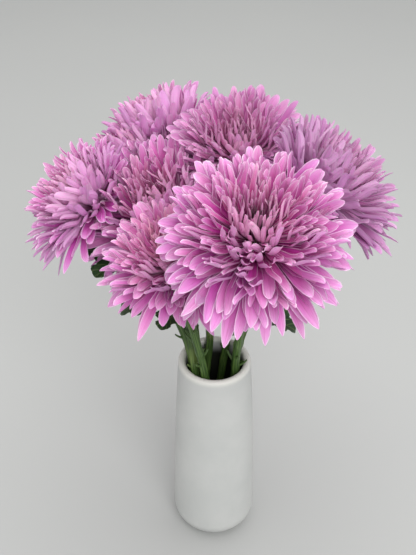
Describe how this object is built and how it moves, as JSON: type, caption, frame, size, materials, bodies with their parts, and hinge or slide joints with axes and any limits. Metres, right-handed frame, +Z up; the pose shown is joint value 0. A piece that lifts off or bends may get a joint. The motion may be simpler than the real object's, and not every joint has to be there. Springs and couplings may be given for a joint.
{
  "type": "chrysanthemums in a jar",
  "caption": "Bunch of large double mauve chrysanthemums with green stems and lobed leaves, standing in a slim off-white ceramic jar with a thick round lip.",
  "frame": {"origin": "centre of the flat foot that the jar stands on", "axes": "+Z up the jar's centre line, -Y towards the front, where the largest head faces, +X to the right seen from the front"},
  "size_m": [0.2785, 0.3102, 0.394],
  "materials": {
    "jar": "matte",
    "stem": "satin",
    "calyx": "matte",
    "leaf": "satin",
    "outer_petal": "matte",
    "middle_petal": "matte",
    "inner_petal": "matte"
  },
  "bodies": {
    "root": {"jar": "jar", "stem_front": "stem", "stem_front_left": "stem", "stem_middle_left": "stem", "stem_far_left": "stem", "stem_back_left": "stem", "stem_back": "stem", "stem_top": "stem", "stem_right": "stem", "calyx_front": "calyx", "calyx_front_left": "calyx", "calyx_middle_left": "calyx", "calyx_far_left": "calyx", "calyx_back_left": "calyx", "calyx_back": "calyx", "calyx_top": "calyx", "calyx_right": "calyx", "outer_petals_front": "outer_petal", "outer_petals_front_left": "outer_petal", "outer_petals_middle_left": "outer_petal", "outer_petals_far_left": "outer_petal", "outer_petals_back_left": "outer_petal", "outer_petals_back": "outer_petal", "outer_petals_top": "outer_petal", "outer_petals_right": "outer_petal", "middle_petals_front": "middle_petal", "middle_petals_front_left": "middle_petal", "middle_petals_middle_left": "middle_petal", "middle_petals_far_left": "middle_petal", "middle_petals_back_left": "middle_petal", "middle_petals_back": "middle_petal", "middle_petals_top": "middle_petal", "middle_petals_right": "middle_petal", "inner_petals_front": "inner_petal", "inner_petals_front_left": "inner_petal", "inner_petals_middle_left": "inner_petal", "inner_petals_far_left": "inner_petal", "inner_petals_back_left": "inner_petal", "inner_petals_back": "inner_petal", "inner_petals_top": "inner_petal", "inner_petals_right": "inner_petal", "leaf_1": "leaf", "leaf_2": "leaf", "leaf_3": "leaf", "leaf_4": "leaf", "leaf_5": "leaf", "leaf_6": "leaf", "leaf_7": "leaf", "leaf_8": "leaf", "leaf_9": "leaf", "leaf_10": "leaf", "leaf_11": "leaf"}
  },
  "joints": []
}
